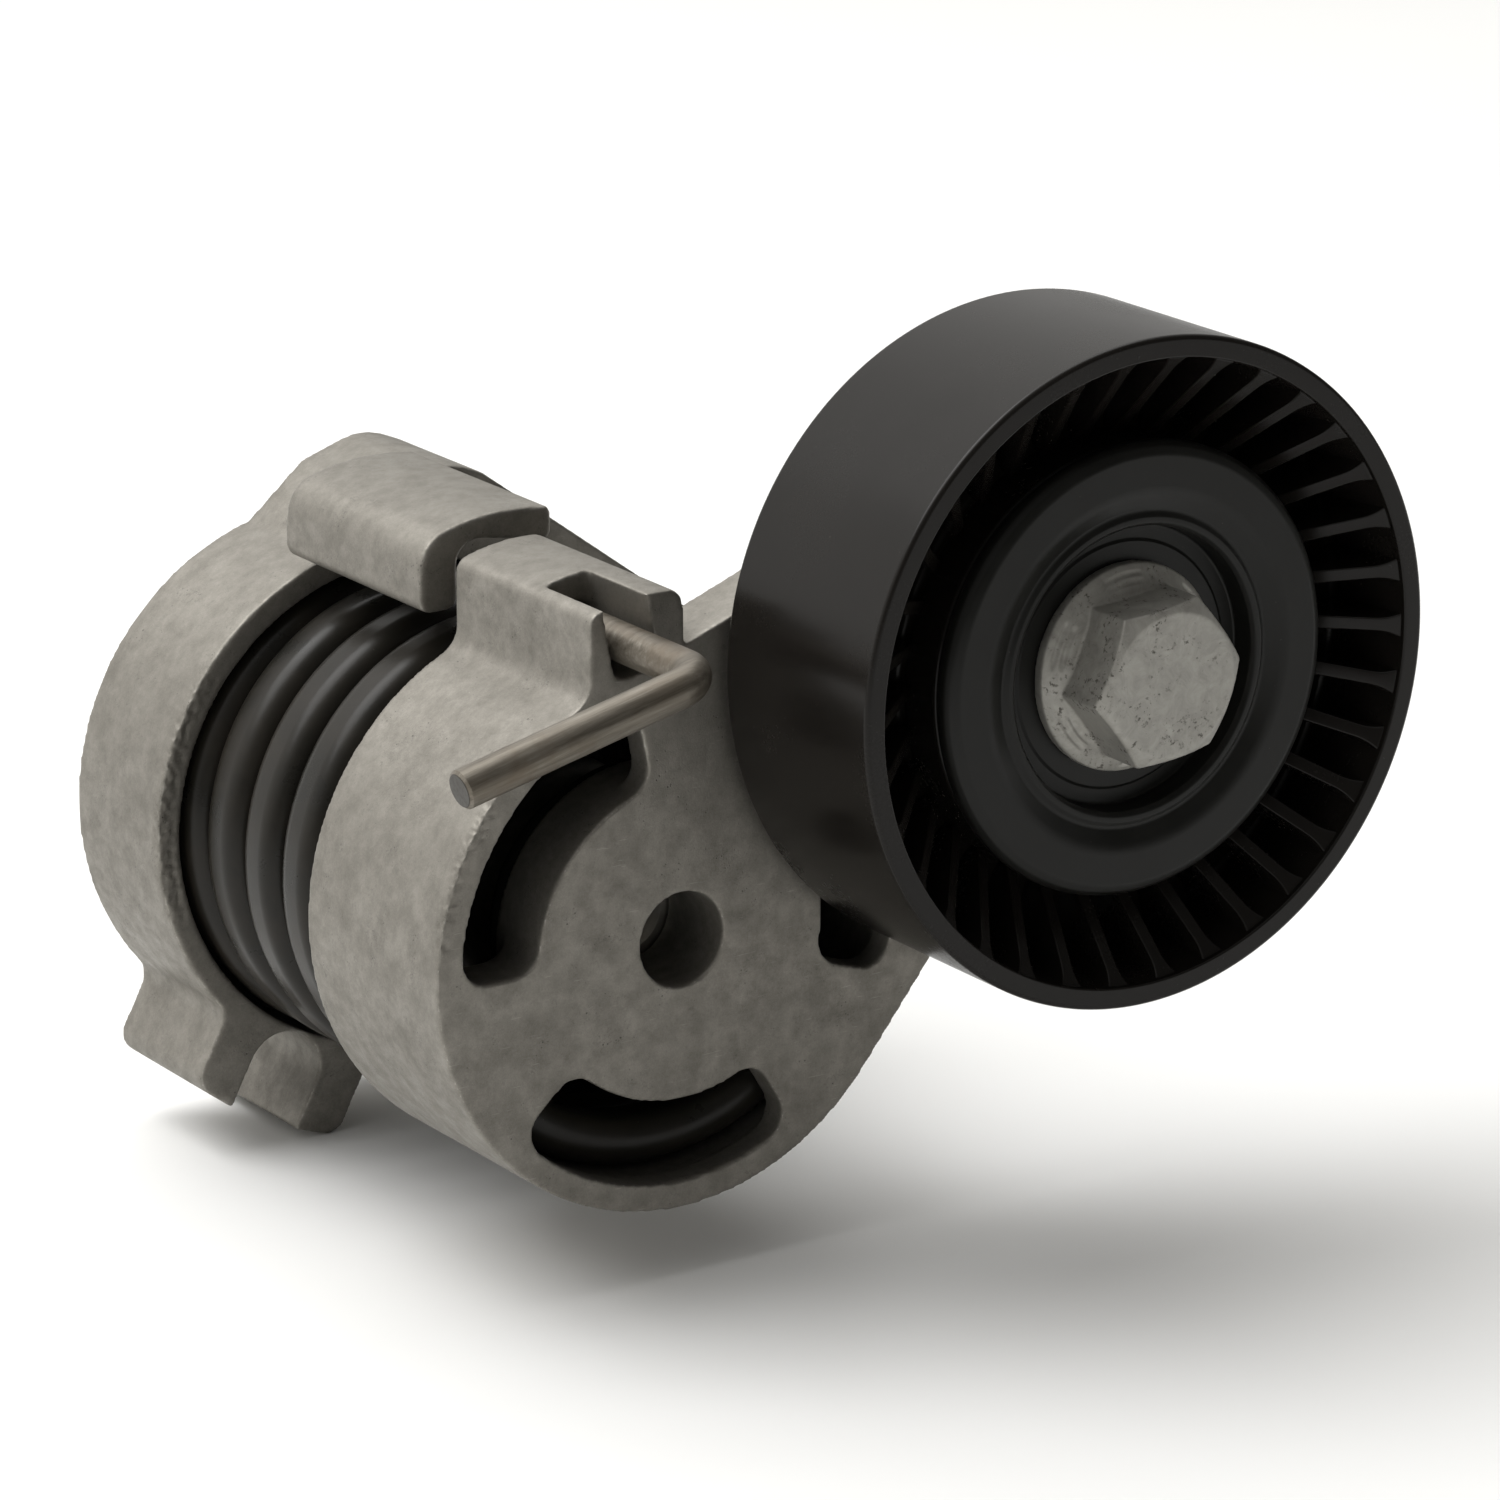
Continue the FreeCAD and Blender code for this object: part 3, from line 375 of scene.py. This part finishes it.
def rib(turn, root_level, hub_top, rim_top):
    """One moulded rib: thin, flared into a foot at the rim, its free edge sloping in to the hub."""
    hub, rim, flare_from = 22.9, 32.95, 30.8
    half, foot, soft = 0.72, 1.5, 0.22
    slope_from, slope_to = 23.2, 32.7
    facing = 1 if hub_top > root_level else -1
    points, faces = [], []
    stations = [hub + (rim - hub) * i / 22 for i in range(23)]
    for along in stations:
        flare = max(0.0, (along - flare_from) / (rim - flare_from))
        width = half + (foot - half) * flare ** 2.1
        top = hub_top + (rim_top - hub_top) * (along - slope_from) / (slope_to - slope_from)
        for side, level in ((-width, root_level), (-width, top - facing * soft),
                            (-width + soft * 0.3, top - facing * soft * 0.3), (-width + soft, top),
                            (width - soft, top), (width - soft * 0.3, top - facing * soft * 0.3),
                            (width, top - facing * soft), (width, root_level)):
            points.append((PULLEY_X + (along * math.cos(turn) - side * math.sin(turn)) * MM,
                           -level * MM,
                           PULLEY_Z + (along * math.sin(turn) + side * math.cos(turn)) * MM))
    for i in range(len(stations) - 1):
        for j in range(8):
            k = (j + 1) % 8
            faces.append((i * 8 + j, i * 8 + k, (i + 1) * 8 + k, (i + 1) * 8 + j))
    last = (len(stations) - 1) * 8
    faces += [tuple(range(8)), tuple(range(last + 7, last - 1, -1))]
    return points, faces


def pulley():
    points, faces = lathe(rounded([
        (35.0, 76.3, 0.6), (35.0, 101.3, 0.55), (32.7, 101.3, 0.25), (32.0, 90.3, 0.8),
        (23.2, 90.3, 0.8), (23.2, 96.2, 0.5), (19.2, 96.2, 0.4), (19.2, 94.8, 0.1),
        (20.0, 94.8, 0.1), (20.0, 82.8, 0.1), (19.2, 82.8, 0.1), (19.2, 81.4, 0.4),
        (23.2, 81.4, 0.5), (23.2, 87.3, 0.8), (32.0, 87.3, 0.8), (32.7, 76.3, 0.25)]))
    rib_count = 34
    for i in range(rib_count):
        turn = 2 * math.pi * i / rib_count
        for levels in ((90.2, 91.9, 100.75), (87.4, 85.7, 76.9)):
            more_points, more_faces = rib(turn, *levels)
            shift = len(points)
            points += more_points
            faces += [tuple(index + shift for index in face) for face in more_faces]
    piece = new_piece("pulley_moulding", mesh_from("pulley_moulding", points, faces), "pulley",
                      "pulley_plastic", "pulley_rim")
    even_normals(piece)


def cover():
    points, faces = lathe(rounded([
        (5.3, 94.8, 0.1), (14.9, 94.8, 0.6), (15.9, 95.8, 0.6), (16.5, 97.3, 0.8), (18.6, 98.3, 1.6),
        (22.0, 98.3, 0.6), (22.7, 97.6, 0.5), (22.7, 97.2, 0.05), (23.7, 97.2, 0.2),
        (23.7, 98.2, 0.9), (23.2, 98.9, 0.8), (22.4, 99.3, 1.0), (18.6, 99.3, 3.0),
        (16.5, 98.3, 0.8), (15.9, 98.7, 0.35), (15.3, 98.7, 0.35), (14.9, 98.2, 0.3),
        (14.7, 95.8, 0.3), (13.1, 95.8, 0.25), (12.8, 96.0, 0.1), (5.3, 96.0, 0.1)]))
    piece = new_piece("dust_cover_pressing", mesh_from("dust_cover_pressing", points, faces), "arm",
                      "black_sheet_steel", "dust_cover")
    even_normals(piece)


def spring():
    """Flattened wire wound between the seats."""
    radius, across, along, corner = 23.6, 5.4, 6.9, 2.5
    pitch, turns, start_level, start_turn = 7.9, 7.0, 11.95, math.radians(339.5)
    section = []
    for side, end, first in ((1, 1, 0), (-1, 1, 90), (-1, -1, 180), (1, -1, 270)):
        for step in range(8):
            turn = math.radians(first + 90 * step / 7)
            section.append((side * (across / 2 - corner) + corner * math.cos(turn),
                            end * (along / 2 - corner) + corner * math.sin(turn)))
    stations = int(turns * 96)
    count = len(section)
    points, faces = [], []
    for i in range(stations + 1):
        share = i / stations
        turn = start_turn + 2 * math.pi * turns * share
        level = start_level + pitch * turns * share
        for out, up in section:
            points.append(((radius + out) * MM * math.cos(turn), -(level + up) * MM,
                           (radius + out) * MM * math.sin(turn)))
    for i in range(stations):
        for j in range(count):
            k = (j + 1) % count
            faces.append((i * count + j, i * count + k, (i + 1) * count + k, (i + 1) * count + j))
    faces += [tuple(range(count)), tuple(range(stations * count + count - 1, stations * count - 1, -1))]
    piece = new_piece("spring_coil", mesh_from("spring_coil", points, faces), None,
                      "coated_spring_steel", "torsion_spring")
    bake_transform(piece)
    even_normals(piece)


def softened(node_name, name, voxel, passes):
    """The CAD node's solid as an even mesh whose corners are rounded; wear is 1 on outer corners."""
    source = bpy.data.objects.new(name + "_source", nodes[node_name].data.copy())
    scene.collection.objects.link(source)
    weld = source.modifiers.new("weld", "WELD")
    weld.merge_threshold = 0.002 * MM
    remesh = source.modifiers.new("remesh", "REMESH")
    remesh.mode = "VOXEL"
    remesh.voxel_size = voxel * MM
    graph = bpy.context.evaluated_depsgraph_get()
    mesh = bpy.data.meshes.new_from_object(source.evaluated_get(graph))
    mesh.name = name
    bpy.data.objects.remove(source)

    count = len(mesh.vertices)
    where = np.empty(count * 3)
    mesh.vertices.foreach_get("co", where)
    where = where.reshape(-1, 3)
    ends = np.empty(len(mesh.edges) * 2, int)
    mesh.edges.foreach_get("vertices", ends)
    first, second = ends[::2], ends[1::2]
    degree = np.bincount(ends, minlength=count)[:, None]
    start = where.copy()
    for _ in range(passes):
        total = np.stack([np.bincount(first, where[second, axis], count)
                          + np.bincount(second, where[first, axis], count) for axis in range(3)], 1)
        where = where + 0.5 * (total / degree - where)
    mesh.vertices.foreach_set("co", where.ravel())
    mesh.update()
    facing = np.empty(count * 3)
    mesh.vertices.foreach_get("normal", facing)
    facing = facing.reshape(-1, 3)
    outward = ((start - where) * facing).sum(1) / (voxel * MM)
    wear = np.clip(outward / 0.45, 0, 1)
    mesh.attributes.new("wear", "FLOAT", "POINT").data.foreach_set("value", wear.astype(np.float32))
    return mesh, where, facing, wear


def smoothstep(low, high, value):
    t = np.clip((value - low) / (high - low), 0, 1)
    return t * t * (3 - 2 * t)


def field(where, scale, shift):
    """Smooth noise at each point; scale is in features per millimetre."""
    return np.array([noise.noise(Vector(p)) for p in where * (scale / MM) + shift])


def casting(node_name, name, body, flash_turns, flash_level):
    """Casting skin: slight unevenness, nicked corners, and rough flash along one stretch of rim."""
    mesh, where, facing, wear = softened(node_name, name, 0.30, 3)
    uneven = 0.5 + 0.5 * field(where, 0.09, 3.1)
    nick = smoothstep(0.28, 0.55, field(where, 0.75, 11.7)) * smoothstep(0.2, 0.8, wear)
    turn = np.degrees(np.arctan2(where[:, 2], where[:, 0])) % 360
    on_rim = smoothstep(1.6, 0.5, np.abs(where[:, 1] + flash_level * MM) / MM)
    on_rim *= smoothstep(flash_turns[0], flash_turns[0] + 6, turn)
    on_rim *= smoothstep(flash_turns[1], flash_turns[1] - 6, turn)
    on_rim *= np.hypot(where[:, 0], where[:, 2]) > 28.0 * MM
    flash = on_rim * smoothstep(-0.1, 0.35, field(where, 2.0, 23.9))
    uneven_depth, nick_depth, flash_depth = 0.05, 0.12, 0.16
    sink = uneven_depth * uneven + nick_depth * nick + flash_depth * flash
    mesh.vertices.foreach_set("co", (where - facing * sink[:, None] * MM).ravel())
    mesh.update()
    new_piece(name, mesh, body, "cast_aluminium", node_name)


def bolt():
    """Forged head: softened corners, and short curved forging marks on the flange by each flat."""
    mesh, where, facing, _ = softened("pulley_bolt", "bolt_forging", 0.15, 5)
    across, up = where[:, 0] - PULLEY_X, where[:, 2] - PULLEY_Z
    reach = np.hypot(across, up) / MM
    turn = np.degrees(np.arctan2(up, across)) % 60
    first_corner, marks_from, marks_to, mark_spacing, mark_depth = 7, 8.9, 10.5, 0.75, 0.18
    past_corner = (turn - first_corner) % 60
    between = smoothstep(14, 20, past_corner) * smoothstep(46, 40, past_corner)
    on_flange = smoothstep(marks_from, marks_from + 0.2, reach)
    on_flange *= smoothstep(marks_to, marks_to - 0.2, reach) * (facing[:, 1] < -0.4)
    wave = 0.5 - 0.5 * np.cos(2 * math.pi * (reach - marks_from) / mark_spacing)
    sink = mark_depth * between * on_flange * wave
    mesh.vertices.foreach_set("co", (where - facing * sink[:, None] * MM).ravel())
    mesh.update()
    new_piece("bolt_forging", mesh, "arm", "zinc_plated_steel", "pulley_bolt")


casting("base_housing", "base_casting", "base", (140, 200), 18.1)
casting("arm_housing", "arm_casting", "arm", (136, 176), 74.4)
bolt()
pulley()
cover()
spring()


# ---------------------------------------------------------------- floor, light and camera

def floor():
    half, level = 4.0, cad_box[0].z
    mesh = bpy.data.meshes.new("floor")
    mesh.from_pydata([(-half, -half, level), (half, -half, level), (half, half, level),
                      (-half, half, level)], [], [(0, 1, 2, 3)])
    look = Look("floor", metallic=0.0, specular=0.2)
    mesh.materials.append(look.finish(
        look.ramp(look.noise(0.002, 2), (0.3, (0.86, 0.86, 0.85)), (0.7, (0.88, 0.88, 0.87))),
        look.span(look.noise(0.01, 2), 0.3, 0.7, 0.75, 0.85)))
    piece = bpy.data.objects.new("floor", mesh)
    scene.collection.objects.link(piece)


def softbox(name, place, aim, size, power):
    lamp = bpy.data.lights.new(name, "AREA")
    lamp.shape = "RECTANGLE"
    lamp.size, lamp.size_y = size
    lamp.energy = power
    holder = bpy.data.objects.new(name, lamp)
    holder.location = place
    holder.rotation_euler = (Vector(aim) - Vector(place)).to_track_quat("-Z", "Y").to_euler()
    scene.collection.objects.link(holder)


floor()
middle = (0.01, -0.05, 0.01)
softbox("key", (-0.45, 0.25, 0.90), middle, (0.8, 0.8), 7.5)
softbox("overhead", (0.10, 0.40, 1.20), middle, (1.4, 0.9), 7)


def backdrop():
    """Soft studio surround: bright behind and to the left of the object, dim in front of it."""
    bright_side = Vector((-0.42, 0.76, 0.50))
    world = bpy.data.worlds.new("studio")
    world.use_nodes = True
    tree = world.node_tree
    coordinates = tree.nodes.new("ShaderNodeTexCoord")
    towards = tree.nodes.new("ShaderNodeVectorMath")
    towards.operation = "DOT_PRODUCT"
    towards.inputs[1].default_value = bright_side
    strength = tree.nodes.new("ShaderNodeMapRange")
    strength.interpolation_type = "SMOOTHSTEP"
    for i, value in enumerate((-0.15, 0.95, 0.10, 1.15), start=1):
        strength.inputs[i].default_value = value
    background = tree.nodes["Background"]
    background.inputs["Color"].default_value = (1.0, 0.985, 0.955, 1)
    tree.links.new(coordinates.outputs["Generated"], towards.inputs[0])
    tree.links.new(towards.outputs["Value"], strength.inputs[0])
    tree.links.new(strength.outputs[0], background.inputs["Strength"])
    scene.world = world


backdrop()
scene.view_settings.view_transform = "Standard"

camera_data = bpy.data.cameras.new("camera")
camera_data.lens = 155.818
camera_data.sensor_width = 36.0
camera_data.shift_x = 0.00302
camera_data.shift_y = -0.00420
camera_data.clip_end = 20
camera = bpy.data.objects.new("camera", camera_data)
camera.location = (-0.342908, -0.599616, 0.213690)
camera.rotation_euler = Euler((math.radians(90 - 17.0851), 0, math.radians(-33.7255)))
scene.collection.objects.link(camera)
scene.camera = camera
